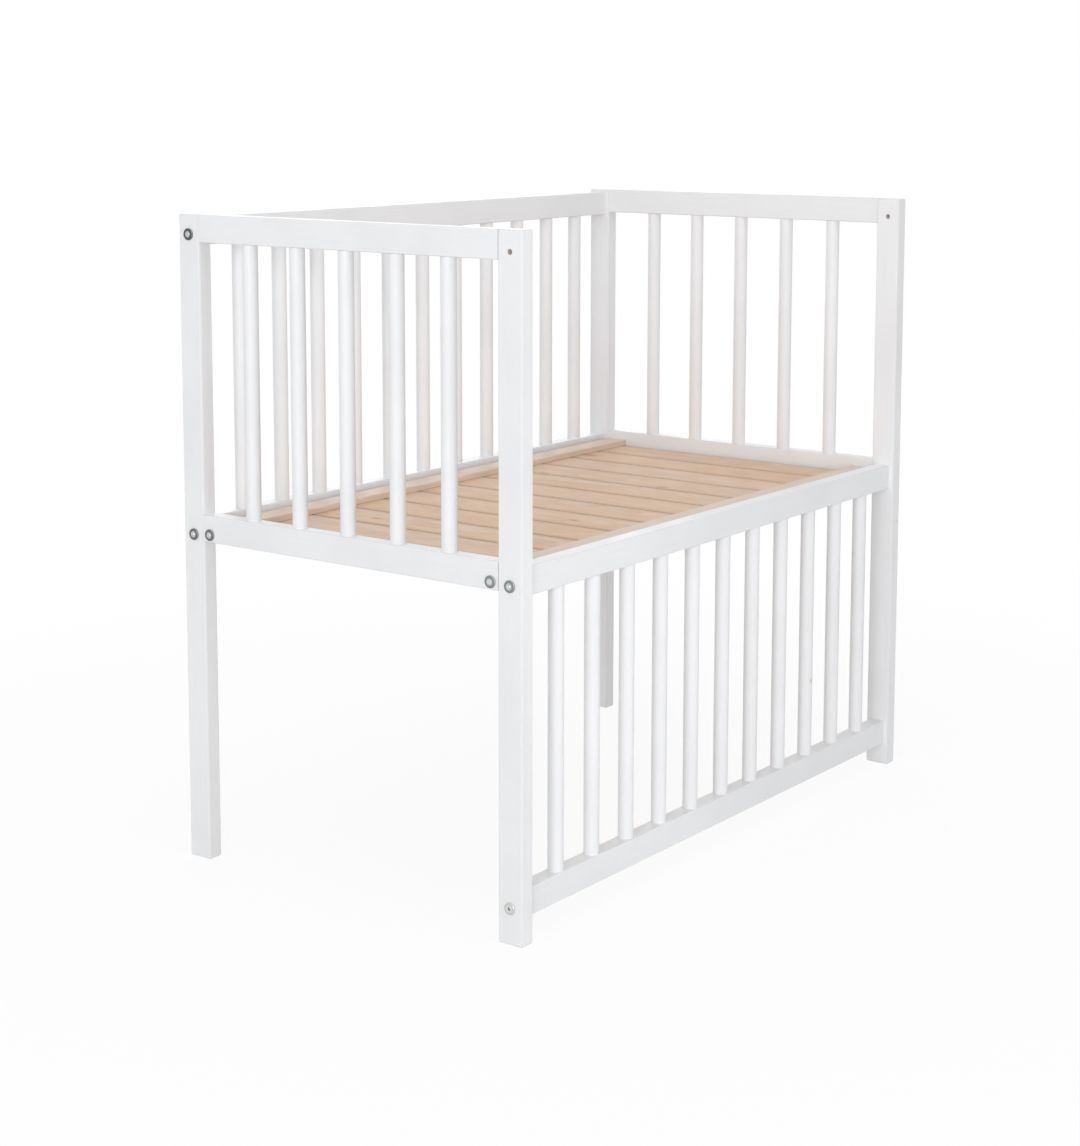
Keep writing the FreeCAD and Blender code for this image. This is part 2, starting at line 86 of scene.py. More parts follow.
# %% [markdown]
# ## Building materials from small steps
#
# Every finish here is a chain of nodes. One helper adds a node, sets its fields and wires its
# inputs, so that a material reads as a short list of steps. Colours are written as a paint
# chart gives them, from 0 to 255, and turned into the linear values that a shader works with.

# %% Material helpers
def linear(red, green, blue):
    """A paint chart colour, 0 to 255, as the shader's linear colour."""
    shares = [value / 255 for value in (red, green, blue)]
    return (*(s / 12.92 if s <= 0.04045 else ((s + 0.055) / 1.055) ** 2.4 for s in shares), 1.0)


def add(tree, kind, inputs=None, **fields):
    """Add one shader node; an input is a value or another node's output socket."""
    made = tree.nodes.new("ShaderNode" + kind)
    for field, value in fields.items():
        setattr(made, field, value)
    for key, value in (inputs or {}).items():
        if isinstance(value, bpy.types.NodeSocket):
            tree.links.new(value, made.inputs[key])
        else:
            made.inputs[key].default_value = value
    return made


def new_material(name):
    """A new material, its node tree and its shader."""
    made = bpy.data.materials.new(name)
    made.use_nodes = True
    return made, made.node_tree, made.node_tree.nodes["Principled BSDF"]


print("paint chart 240 is", round(linear(240, 240, 240)[0], 3), "in linear light")

# %% [markdown]
# The next helpers are the small steps themselves. Two-number arithmetic, a blend of two
# colours, a soft step between two limits, and a noise whose grain is given as a real size in
# metres, which is easier to judge than a scale without a unit.

# %% Small steps
def calc(tree, operation, first, second=0.0, clamp=False):
    """One step of arithmetic on one or two numbers."""
    return add(tree, "Math", {0: first, 1: second}, operation=operation,
               use_clamp=clamp).outputs[0]


def blend(tree, share, first, second):
    """Blend two colours; share is how much of the second one shows."""
    return add(tree, "Mix", {0: share, 6: first, 7: second}, data_type="RGBA").outputs[2]


def layered(tree, colour, layers):
    """Lay tints over a colour one after another; each layer is a share and its tint."""
    for share, tint in layers:
        colour = blend(tree, share, colour, tint)
    return colour


def ramp(tree, value, start, end, low=0.0, high=1.0, form="SMOOTHSTEP"):
    """Go from low to high while value goes from start to end."""
    limits = {"Value": value, "From Min": start, "From Max": end, "To Min": low, "To Max": high}
    return add(tree, "MapRange", limits, interpolation_type=form).outputs[0]


def noise(tree, where, size, detail=2.0):
    """Noise between 0 and 1 whose blotches are about size metres across."""
    return add(tree, "TexNoise", {"Vector": where, "Scale": 1 / size,
                                  "Detail": detail}).outputs[0]


def stretched(tree, where, grain, squeeze):
    """Squeeze the coordinates along the grain axis, so that blotches become fibres."""
    scale = [squeeze if axis == grain else 1.0 for axis in "XYZ"]
    return add(tree, "Mapping", {"Vector": where, "Scale": scale}).outputs[0]


print("steps ready")

# %% [markdown]
# A finish ends in three wires: colour, roughness and relief. The relief is a bump with a real
# depth in metres, and a second one can lie over the first, as a film lies over fibres.

# %% Relief and the last wires
def relief(tree, height, strength, depth, over=None):
    """A bump as deep as depth, laid over another one if there is one."""
    inputs = {"Height": height, "Strength": strength, "Distance": depth}
    if over is not None:
        inputs["Normal"] = over
    return add(tree, "Bump", inputs).outputs[0]


def wire(tree, shader, colour, roughness, bumps):
    """Connect a finish to its shader."""
    for socket, name in ((colour, "Base Color"), (roughness, "Roughness"), (bumps, "Normal")):
        tree.links.new(socket, shader.inputs[name])


def dress(name, material):
    """Give a carried-over node its finish in place of the slots it came with."""
    nodes[name].data.materials.clear()
    nodes[name].data.materials.append(material)


print("wires ready for", len(nodes), "nodes")

# %% [markdown]
# A knot or a drilled hole needs a distance from a point or a line. Leaving one axis out of the
# distance turns the point into a line, which is what a hole along that axis needs.

# %% Distance from a point or a line
ALONG_X = (0.0, 1.0, 1.0)


def distance(tree, where, point, weights=(1.0, 1.0, 1.0)):
    """Distance from a point; a weight of 0 leaves that axis out."""
    away = add(tree, "VectorMath", {0: where, 1: point}, operation="SUBTRACT").outputs[0]
    weighed = add(tree, "VectorMath", {0: away, 1: weights}, operation="MULTIPLY").outputs[0]
    return add(tree, "VectorMath", {0: weighed}, operation="LENGTH").outputs[1]


def object_place(tree):
    """The place on the crib, in metres."""
    return add(tree, "TexCoord").outputs["Object"]


print("distance ready; a line along X has the weights", ALONG_X)

# %% [markdown]
# ## Where the lacquer differs
#
# The crib's white coat is not the same everywhere, and two masks find the places. Posts and
# rails get a painted shade on their rounded edges, a touch greyer, so that the lamps, which light
# a slanted rounding from two sides at once, don't make it brighter than the faces. That edge is
# found from the surface's own direction, which is slanted only on the rounding.
# A hole that is drilled after spraying shows the wood. It is found as a tube: near the hole's
# axis, and between its two ends.

# %% Masks for rounded edges and drilled holes
def on_rounding(tree):
    """0 on a square face, going to 0.9 on a rounded edge."""
    facing = add(tree, "VectorMath", {0: add(tree, "TexCoord").outputs["Normal"]},
                 operation="ABSOLUTE").outputs[0]
    parts = add(tree, "SeparateXYZ", {0: facing}).outputs
    squarest = calc(tree, "MAXIMUM", calc(tree, "MAXIMUM", parts[0], parts[1]), parts[2])
    return ramp(tree, squarest, 0.98, 0.86, 0.0, 0.9)


def in_hole(tree, place, point, radius, start, end):
    """1 inside a hole that is drilled along X from start to end."""
    inside = calc(tree, "LESS_THAN", distance(tree, place, point, ALONG_X), radius)
    along = add(tree, "SeparateXYZ", {0: place}).outputs[0]
    inside = calc(tree, "MULTIPLY", inside, calc(tree, "GREATER_THAN", along, start))
    return calc(tree, "MULTIPLY", inside, calc(tree, "LESS_THAN", along, end))


print("masks ready")

# %% [markdown]
# ## White lacquer on wood
#
# The frame is sprayed with a satin white lacquer. It is never one flat white: the coat varies a
# little, the fibres below show as a faint relief along each piece, and the sprayed film has a
# fine orange-peel skin. So a broad noise works on the colour and the gloss, one stretched along
# the grain on the relief, and a fine round one on the film. A knot under the paint shows as a
# soft warm spot. The wood tint in a hole is pale, because the hole's own shade darkens it.

# %% White lacquer
LACQUER = linear(239, 240, 242)
LACQUER_THIN = linear(230, 231, 233)
# Painted shade for the rounded edges of posts and rails.
EDGE_PAINTED_SHADE = linear(225, 226, 228)
KNOT_TINT = linear(222, 207, 198)
BARE_WOOD = linear(230, 219, 213)
COAT_CLOUD = 0.11        # metres across
FIBRE_WIDTH = 0.0022
FIBRE_SQUEEZE = 0.035
ORANGE_PEEL = 0.0013


def white_lacquer(name, grain, knots=(), holes=(), edges=True):
    """Satin lacquer; a knot is (point, radius), a hole is (point, radius, start, end)."""
    made, tree, shader = new_material(name)
    place = object_place(tree)
    cloudy = noise(tree, place, COAT_CLOUD, 3.0)
    fibres = noise(tree, stretched(tree, place, grain, FIBRE_SQUEEZE), FIBRE_WIDTH, 4.0)
    peel = noise(tree, place, ORANGE_PEEL, 1.0)
    layers = [(ramp(tree, cloudy, 0.35, 0.75, 0.0, 0.45), LACQUER_THIN),
              (ramp(tree, fibres, 0.5, 0.8, 0.0, 0.4), LACQUER_THIN)]
    for point, radius in knots:
        away = distance(tree, place, point)
        layers.append((ramp(tree, away, 0.3 * radius, radius, 0.8, 0.0), KNOT_TINT))
    # Painted shade on the rounded edges of posts and rails, a touch greyer than the faces.
    if edges:
        layers.append((on_rounding(tree), EDGE_PAINTED_SHADE))
    for hole in holes:
        layers.append((in_hole(tree, place, *hole), BARE_WOOD))
    film = relief(tree, peel, 0.2, 0.00005, over=relief(tree, fibres, 0.4, 0.00014))
    wire(tree, shader, layered(tree, LACQUER, layers),
         ramp(tree, cloudy, 0.3, 0.7, 0.36, 0.5), film)
    shader.inputs["Specular IOR Level"].default_value = 0.35
    shader.inputs["Coat Weight"].default_value = 0.05
    shader.inputs["Coat Roughness"].default_value = 0.3
    return made


print("lacquer reflects", round(LACQUER[1], 3), "and where it is thin", round(LACQUER_THIN[1], 3))

# %% [markdown]
# ## Posts
#
# A bolt hole drilled after spraying shows bare wood inside. The front posts keep their unused
# upper holes, and the rear posts have blind low holes on their inner side. One material could
# test for all four holes, but a copy of the lacquer for each post, with the bare place at its
# own hole, is shorter and easier to check. The far front post also has a small knot under its
# paint.

# %% Dress the posts
UPPER_LEVEL = 0.834      # metres above the floor
LOWER_LEVEL = 0.046
HOLE_RADIUS = 0.0036
BLIND_DEPTH = 0.0145
FACE_MARGIN = 0.001
POST_KNOTS = {"front_right_post": [((0.4638, -0.279, 0.3756), 0.0035)]}


def open_hole(name, inward):
    """The post's unused hole: through at the upper level in front, blind and low at the rear."""
    low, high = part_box(name)
    row = ((low + high) / 2).y
    if name.startswith("front"):
        return (0, row, UPPER_LEVEL), HOLE_RADIUS, low.x, high.x
    inner_face = high.x if inward > 0 else low.x
    start, end = sorted((inner_face + FACE_MARGIN * inward, inner_face - BLIND_DEPTH * inward))
    return (0, row, LOWER_LEVEL), HOLE_RADIUS, start, end


for end_name, inward in (("left", 1), ("right", -1)):
    for side in ("front", "rear"):
        name = "%s_%s_post" % (side, end_name)
        dress(name, white_lacquer("lacquer_" + name, "Z", POST_KNOTS.get(name, ()),
                                  [open_hole(name, inward)]))
print("posts dressed; open holes", UPPER_LEVEL, "m up in front and", LOWER_LEVEL, "m at the rear")

# %% [markdown]
# ## Rails and spindles
#
# The grain runs along each piece, and a material doesn't know which way its piece lies. Since
# the pieces stand square to the axes, three directions of the same lacquer are enough: upright
# for spindles, lengthwise for side rails, crosswise for end rails. One front spindle shows a
# knot through its paint in the photograph. The spindles are round all over, so they go without
# the painted edge shade.

# %% Dress rails and spindles
SPINDLE_KNOT = ((0.2277, -0.269, 0.1777), 0.006)

upright_white = white_lacquer("lacquer_spindles", "Z", [SPINDLE_KNOT], edges=False)
long_white = white_lacquer("lacquer_side_rails", "X")
cross_white = white_lacquer("lacquer_end_rails", "Y")

count = 0
for name in nodes:
    if "spindle" in name:
        dress(name, upright_white)
    elif "panel" in name:
        dress(name, long_white)
    elif "end" in name:
        dress(name, cross_white)
    else:
        continue
    count += 1
print("rails and spindles dressed:", count)

# %% [markdown]
# ## Natural wood
#
# Slats and bars are planed softwood without paint. A board is cut out of a trunk, so its
# pattern is a flat cut through nested tubes: the growth rings. If the board leans a little
# against the trunk's axis, the cut shows long arches. The material does the same. It measures
# the distance from a leaning axis below the board, folds it into rings that darken slowly and
# end sharply, and bends them with a noise that is stretched along the board.

# %% Growth rings
WANDER_SIZE = 0.025      # metres across
WANDER_SQUEEZE = 0.12
RING_SHARPNESS = 2.5


def growth_rings(tree, across, along, depth, ring_gap, bend, push=0.0):
    """Ring pattern from 0, early wood, to 1, late wood, for a trunk that lies along the board."""
    flat = add(tree, "CombineXYZ", {0: across, 1: 0.0, 2: depth}).outputs[0]
    reach = add(tree, "VectorMath", {0: flat}, operation="LENGTH").outputs[1]
    slow = calc(tree, "MULTIPLY", along, WANDER_SQUEEZE)
    wander = add(tree, "CombineXYZ", {0: across, 1: slow, 2: depth}).outputs[0]
    drift = calc(tree, "MULTIPLY", noise(tree, wander, WANDER_SIZE, 2.0), bend)
    phase = calc(tree, "DIVIDE", calc(tree, "ADD", reach, drift), ring_gap)
    phase = calc(tree, "ADD", phase, push)
    return calc(tree, "POWER", calc(tree, "FRACT", phase), RING_SHARPNESS)


print("rings ready; their bends are", WANDER_SIZE, "m wide and",
      round(WANDER_SIZE / WANDER_SQUEEZE, 2), "m long")

# %% [markdown]
# ## Twelve slats from one recipe
#
# No two slats come from the same place in the trunk. Each slat's number follows from its place
# along the crib, and a white noise turns that number into three random shares, which set where
# the trunk's axis lay, how much the board leans, and its tone. One material then dresses all
# twelve boards, and none repeats. The slats' pitch, start and top are measured on the slats.

# %% One trunk place for each slat
first_low, first_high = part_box("base_slat_01")
SLAT_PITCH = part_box("base_slat_02")[0].x - first_low.x
SLATS_START = (first_low.x + first_high.x - SLAT_PITCH) / 2
SLAT_TOP = first_high.z
SLAT_SEED = 3.0
AXIS_SPREAD = 1.6        # pitches to either side, taken together
BOARD_STEP = 0.7         # metres along the trunk from slat to slat
LEAN_SPREAD = 0.22
DEPTH_SPREAD = 0.05      # metres
LEAST_DEPTH = 0.02


def slat_shares(tree, x):
    """The slat's number, the place across it from 0 to 1, and three random shares."""
    counted = calc(tree, "DIVIDE", calc(tree, "SUBTRACT", x, SLATS_START), SLAT_PITCH)
    number = calc(tree, "FLOOR", counted)
    drawn = add(tree, "TexWhiteNoise", {"W": calc(tree, "ADD", number, SLAT_SEED)},
                noise_dimensions="1D").outputs["Color"]
    return number, calc(tree, "FRACT", counted), add(tree, "SeparateColor", {0: drawn}).outputs


def trunk_place(tree, y, z, number, within, shares):
    """Where the slat lies in its trunk: across, along and above the trunk's axis."""
    aside, tipped, sunk = shares
    centre = calc(tree, "MULTIPLY", calc(tree, "SUBTRACT", aside, 0.5), AXIS_SPREAD)
    across = calc(tree, "SUBTRACT", calc(tree, "SUBTRACT", within, 0.5), centre)
    along = calc(tree, "ADD", y, calc(tree, "MULTIPLY", number, BOARD_STEP))
    lean = calc(tree, "MULTIPLY", calc(tree, "SUBTRACT", tipped, 0.5), LEAN_SPREAD)
    deep = calc(tree, "ADD", calc(tree, "MULTIPLY", sunk, DEPTH_SPREAD),
                calc(tree, "SUBTRACT", z, SLAT_TOP - LEAST_DEPTH))
    depth = calc(tree, "ADD", calc(tree, "MULTIPLY", y, lean), deep)
    return calc(tree, "MULTIPLY", across, SLAT_PITCH), along, depth


print("slat pitch", round(SLAT_PITCH, 4), "m from", round(SLATS_START, 4), "m, top",
      round(SLAT_TOP, 4), "m")

# %% [markdown]
# A knot is where a branch left the trunk. A dark spot on top of the grain would look painted
# on, because real rings bend round a knot. So near a knot the rings are pushed on first, and
# then its dark core is laid over them. In a planed board it is an oval, longer along the board.

# %% Knots in the slats
SLAT_KNOTS = [((0.334, 0.196, SLAT_TOP), 0.010), ((0.158, 0.155, SLAT_TOP), 0.005),
              ((0.162, -0.056, SLAT_TOP), 0.007), ((-0.12, -0.10, SLAT_TOP), 0.006),
              ((-0.27, 0.12, SLAT_TOP), 0.005)]
KNOT_OVAL = (1.0, 0.55, 0.0)
KNOT_PUSH = 2.2          # rings


def slat_knots(tree, place):
    """How many rings the knots push on, and how much of a knot's core shows."""
    push = core = 0.0
    for point, radius in SLAT_KNOTS:
        away = distance(tree, place, point, KNOT_OVAL)
        pushed = ramp(tree, away, 0.0, 3.2 * radius, KNOT_PUSH, 0.0)
        spot = ramp(tree, away, 0.2 * radius, 1.3 * radius, 1.0, 0.0)
        push = calc(tree, "ADD", push, pushed)
        core = calc(tree, "MAXIMUM", core, spot)
    return push, core


print("knots in the slats:", len(SLAT_KNOTS))

# %% [markdown]
# Seen from close by, planed wood has more than rings: fine fibres, a broad mottle, open pores
# and streaky flecks. A picture of wood holds all that, but it would repeat on twelve boards.
# Here each pattern is a noise of its own size, squeezed along the board by its own share, and
# it differs on each slat, because it counts the length along the trunk.

# %% Grain of a slat
SLAT_GRAIN = {"fibres": (0.03, 0.0011, 3.0),   # squeeze, size in metres, detail
              "mottle": (0.3, 0.02, 3.0),
              "pores": (0.07, 0.0006, 0.0),
              "fleck": (0.14, 0.0038, 3.0)}


def slat_grain(tree, x, along, z):
    """The fine patterns of a slat, by name."""
    cut = add(tree, "CombineXYZ", {0: x, 1: along, 2: z}).outputs[0]
    return {name: noise(tree, stretched(tree, cut, "Y", squeeze), size, detail)
            for name, (squeeze, size, detail) in SLAT_GRAIN.items()}


print("patterns in a slat:", ", ".join(SLAT_GRAIN))

# %% [markdown]
# The colour is laid on in layers over a tone that differs from board to board. Each board is
# paler toward its edge at larger X, by a share that differs from board to board. Then come the
# dark late rings, the mottle, the fibres, flecks that go both warmer and paler, the pores and
# the knots. The board is darker toward both long edges, painted shade where its neighbours
# shade it, and its sides, down in the gaps, are darker still with painted shade.

# %% Slat wood
SLAT_LIGHT = linear(227, 202, 182)
SLAT_DARK = linear(200, 160, 131)
SLAT_PALE = linear(225, 208, 193)
SLAT_WARM = linear(223, 189, 154)
SLAT_EDGE = linear(190, 157, 131)
# Painted shade for the slats' sides, down in the gaps between the boards.
SIDE_PAINTED_SHADE = linear(184, 158, 138)
KNOT_CORE = linear(188, 134, 98)
SLAT_RING_GAP = 0.0046   # metres
SLAT_RING_BEND = 0.012


def slat_wood():
    """Planed softwood for all twelve slats."""
    made, tree, shader = new_material("wood_slats")
    place = object_place(tree)
    x, y, z = add(tree, "SeparateXYZ", {0: place}).outputs
    number, within, shares = slat_shares(tree, x)
    across, along, depth = trunk_place(tree, y, z, number, within, shares)
    push, core = slat_knots(tree, place)
    rings = growth_rings(tree, across, along, depth, SLAT_RING_GAP, SLAT_RING_BEND, push)
    fibres, mottle, pores, fleck = slat_grain(tree, x, along, z).values()
    # Each board is paler toward its edge at larger X, by a share that differs from board to
    # board.
    paler_toward_plus_x = calc(tree, "MULTIPLY", ramp(tree, within, 0.35, 0.95),
                   ramp(tree, shares[2], 0.1, 0.6, 0.35, 0.9))
    off_middle = calc(tree, "ABSOLUTE", calc(tree, "SUBTRACT", within, 0.5))
    # Painted shade on the slats' sides, which darkens the gaps between the boards.
    side = ramp(tree, z, SLAT_TOP - 0.0022, SLAT_TOP - 0.0003, 0.95, 0.0)

    layers = [(shares[0], SLAT_WARM),
              (paler_toward_plus_x, SLAT_PALE),
              (calc(tree, "MULTIPLY", rings, 0.5), SLAT_DARK),
              (ramp(tree, mottle, 0.35, 0.75, 0.0, 0.45), SLAT_DARK),
              (ramp(tree, fibres, 0.45, 0.8, 0.0, 0.35), SLAT_DARK),
              (ramp(tree, fleck, 0.42, 0.7, 0.0, 0.7), SLAT_WARM),
              (ramp(tree, fleck, 0.5, 0.26, 0.0, 0.5), SLAT_PALE),
              (ramp(tree, pores, 0.68, 0.78, 0.0, 0.25), KNOT_CORE),
              (calc(tree, "MULTIPLY", core, 0.75), KNOT_CORE),
              (ramp(tree, off_middle, 0.3, 0.472, 0.0, 0.42), SLAT_EDGE),
              (side, SIDE_PAINTED_SHADE)]
    ridges = relief(tree, rings, 0.3, 0.0001, over=relief(tree, fibres, 0.5, 0.00018))
    wire(tree, shader, layered(tree, SLAT_LIGHT, layers),
         ramp(tree, fibres, 0.3, 0.7, 0.52, 0.7), ridges)
    return made


slat_finish = slat_wood()
slats = [name for name in nodes if "slat" in name]
for name in slats:
    dress(name, slat_finish)
print("slats dressed:", len(slats), "nodes in the recipe:", len(slat_finish.node_tree.nodes))

# %% [markdown]
# ## The side bars
#
# The bars that carry the slats are paler and yellower in the photograph, with a straight quiet
# grain along the crib. The slats' recipe would work here too, but two bars need no numbers and
# no knots. So the same rings are used plainly: the trunk lies a little below the bars and leans
# only slightly, and the rings show as long, nearly straight lines.

# %% Bar wood
BAR_LIGHT = linear(227, 212, 197)
BAR_DARK = linear(212, 190, 168)
BAR_TRUNK_HEIGHT = 0.41  # metres above the floor
BAR_LEAN = 0.03
BAR_RING_GAP = 0.0028
BAR_RING_BEND = 0.006


def bar_wood():
    """Planed softwood with a straight grain for both side bars."""
    made, tree, shader = new_material("wood_bars")
    place = object_place(tree)
    x, y, z = add(tree, "SeparateXYZ", {0: place}).outputs
    depth = calc(tree, "ADD", calc(tree, "SUBTRACT", z, BAR_TRUNK_HEIGHT),
                 calc(tree, "MULTIPLY", x, BAR_LEAN))
    rings = growth_rings(tree, y, x, depth, BAR_RING_GAP, BAR_RING_BEND)
    fibres = noise(tree, stretched(tree, place, "X", 0.03), 0.001, 3.0)
    mottle = noise(tree, stretched(tree, place, "X", 0.25), 0.02, 2.0)
    layers = [(calc(tree, "MULTIPLY", rings, 0.55), BAR_DARK),
              (ramp(tree, mottle, 0.35, 0.75, 0.0, 0.5), BAR_DARK),
              (ramp(tree, fibres, 0.45, 0.8, 0.0, 0.4), BAR_DARK)]
    wire(tree, shader, layered(tree, BAR_LIGHT, layers),
         ramp(tree, fibres, 0.3, 0.7, 0.5, 0.68), relief(tree, fibres, 0.5, 0.00018))
    return made


bar_finish = bar_wood()
bars = [name for name in nodes if "bar" in name.split("_")]
for name in bars:
    dress(name, bar_finish)
print("bars dressed:", len(bars))

# %% [markdown]
# ## Connector bolts
#
# The bolts hold the crib together, and their heads are the only metal in the photograph. A
# connector bolt has a wide flat head with a rounded rim, a slightly raised middle, a hexagon
# socket with a chamfered mouth, a plain shank and a thread. All that is round comes from one
# profile of radius and height, spun about the bolt's axis, because round things are easiest to
# make by turning. One loop on the ring keeps it flat up to where the rim's rounding starts.

# %% The turned blank
HEAD_RADIUS = 0.00775    # metres, as all sizes of the bolt
HEAD_HEIGHT = 0.0024
RIM_ROUND = 0.0007
RIM_STEPS = 4
RAISED_RADIUS = 0.0043
RING_RADIUS = 0.0048
RING_HALFWAY = 0.0064
RING_DROP = 0.0002
MOUTH_RADIUS = 0.0029
SHANK_RADIUS = 0.003
SHANK_LENGTH = 0.066
CORE_RADIUS = 0.00245
CORE_TAPER = 0.0006
THREAD_START = 0.036
TIP_RADIUS = 0.0015
TIP_LENGTH = 0.0012
TURNING_STEPS = 48
SAME_PLACE = 1e-6


def turned_blank(shape):
    """Spin the bolt without its socket and thread, and round the rim of its head."""
    ring_height = HEAD_HEIGHT - RING_DROP
    profile = [(MOUTH_RADIUS, HEAD_HEIGHT), (RAISED_RADIUS, HEAD_HEIGHT),
               (RING_RADIUS, ring_height), (RING_HALFWAY, ring_height),
               (HEAD_RADIUS, ring_height), (HEAD_RADIUS, 0.0), (SHANK_RADIUS, 0.0),
               (SHANK_RADIUS, -THREAD_START), (CORE_RADIUS, -THREAD_START - CORE_TAPER),
               (CORE_RADIUS, -SHANK_LENGTH + TIP_LENGTH), (TIP_RADIUS, -SHANK_LENGTH)]
    chain = [shape.verts.new((radius, 0.0, height)) for radius, height in profile]
    edges = [shape.edges.new(pair) for pair in zip(chain, chain[1:])]
    bmesh.ops.spin(shape, geom=chain + edges, cent=(0, 0, 0), axis=(0, 0, 1),
                   angle=math.tau, steps=TURNING_STEPS, use_merge=True)
    rim = [edge for edge in shape.edges if not edge.is_boundary
           and all(abs(v.co.xy.length - HEAD_RADIUS) < SAME_PLACE for v in edge.verts)
           and all(v.co.z > HEAD_HEIGHT / 2 for v in edge.verts)]
    bmesh.ops.bevel(shape, geom=rim, offset=RIM_ROUND, offset_type="OFFSET",
                    segments=RIM_STEPS, profile=0.5, affect="EDGES", material=-1)


print("head", 2000 * HEAD_RADIUS, "mm wide, shank", 1000 * SHANK_LENGTH, "mm long")

# %% [markdown]
# A key turns the bolt in its hexagon socket. A hexagonal plug could be cut out of the head with
# a Boolean, but that leaves a hard mouth without a chamfer. Here a hexagon loop with six corners
# is bridged to the round mouth with its forty-eight, which gives the fan of slanted faces that
# a chamfered socket has. The hexagon is then extruded down, and its floor is poked to the cone
# that the drill leaves.

# %% Socket and tip
SOCKET_FLATS = 0.004
SOCKET_DEPTH = 0.0032
MOUTH_CHAMFER = 0.0003
DRILL_CONE = 0.0006


def open_loop(shape, height):
    """The boundary edges that lie at one height."""
    return [edge for edge in shape.edges if edge.is_boundary
            and all(abs(v.co.z - height) < SAME_PLACE for v in edge.verts)]


def cut_socket(shape):
    """Bridge a hexagon to the round mouth, sink it, and close its floor and the bolt's tip."""
    mouth = open_loop(shape, HEAD_HEIGHT)
    lip = HEAD_HEIGHT - MOUTH_CHAMFER
    corner = SOCKET_FLATS / math.sqrt(3)
    ring = bmesh.ops.create_circle(shape, segments=6, radius=corner, cap_ends=False,
                                   matrix=Matrix.Translation((0, 0, lip)))["verts"]
    hexagon = [edge for edge in shape.edges if all(v in ring for v in edge.verts)]
    bmesh.ops.bridge_loops(shape, edges=mouth + hexagon)
    walls = bmesh.ops.extrude_edge_only(shape, edges=hexagon)["geom"]
    foot = [item for item in walls if isinstance(item, bmesh.types.BMVert)]
    bmesh.ops.translate(shape, verts=foot, vec=(0, 0, HEAD_HEIGHT - SOCKET_DEPTH - lip))
    base = [item for item in walls if isinstance(item, bmesh.types.BMEdge)
            and all(v in foot for v in item.verts)]
    floor = bmesh.ops.contextual_create(shape, geom=base)["faces"]
    peak = bmesh.ops.poke(shape, faces=floor)["verts"]
    bmesh.ops.translate(shape, verts=peak, vec=(0, 0, -DRILL_CONE))
    bmesh.ops.contextual_create(shape, geom=open_loop(shape, -SHANK_LENGTH))


print("socket", 1000 * SOCKET_FLATS, "mm across its flats")

# %% [markdown]
# A thread is a ridge that climbs as it turns. Its points could be worked out with sines, but
# spin does that with its dvec: a small triangle goes round the core and sinks by one pitch each
# turn. Its foot lies a little inside the core, so that no gap shows between them.

# %% Thread
THREAD_PITCH = 0.001
THREAD_STEPS = 16
THREAD_LEAD = 0.001
THREAD_FREE_TIP = 0.003
THREAD_SINK = 0.0001
THREAD_FLANK = 0.42      # share of the pitch
THREAD_TURNS = int((SHANK_LENGTH - THREAD_START - THREAD_FREE_TIP) / THREAD_PITCH)


def cut_thread(shape):
    """A helical ridge round the core, from the shank to near the tip."""
    top = -THREAD_START - THREAD_LEAD
    foot = CORE_RADIUS - THREAD_SINK
    triangle = [shape.verts.new((foot, 0.0, top)),
                shape.verts.new((SHANK_RADIUS, 0.0, top - THREAD_PITCH * THREAD_FLANK)),
                shape.verts.new((foot, 0.0, top - THREAD_PITCH * 2 * THREAD_FLANK))]
    start = shape.faces.new(triangle)
    bmesh.ops.spin(shape, geom=[start, *start.edges, *start.verts], cent=(0, 0, 0),
                   axis=(0, 0, 1), dvec=(0, 0, -THREAD_PITCH / THREAD_STEPS),
                   angle=math.tau * THREAD_TURNS, steps=THREAD_STEPS * THREAD_TURNS,
                   use_merge=False)


print("thread turns", THREAD_TURNS)

# %% [markdown]
# ## Zinc on the bolts
#
# The heads are pressed steel with a thin zinc plating. The raised middle is rubbed bright, and
# fine turning rings run round the axis. The stamped ring round the middle is dark and the
# socket bright, both painted reflection, the shade and light that a head mirrors. Coordinates
# on the crib don't help here, because each bolt lies somewhere else. So each vertex stores its
# distance from the bolt's own axis, and one recipe reads it for all bolts. The finishes are lit
# and shaded copies of one zinc, painted reflection for where a bolt sits: the uppermost ones
# darkest, the others at the rear dark, the front ones greyer, and the lowest front ones, which
# face the floor, bright with a darker socket.

# %% Zinc
CENTRE_BAND = (0.0022, 0.0028)   # metres from the axis, where one zone goes over into the next
RING_BAND = (0.0034, 0.0052)
RIM_BAND = (0.0070, 0.0076)
UNEVEN = 0.0005
MARK_GAP = 0.0003
BLOOM_SIZE = 0.0011
# Painted reflection: a bright socket.
PAINTED_SOCKET_SHINE = linear(244, 245, 244)
BLOOM = linear(214, 216, 212)


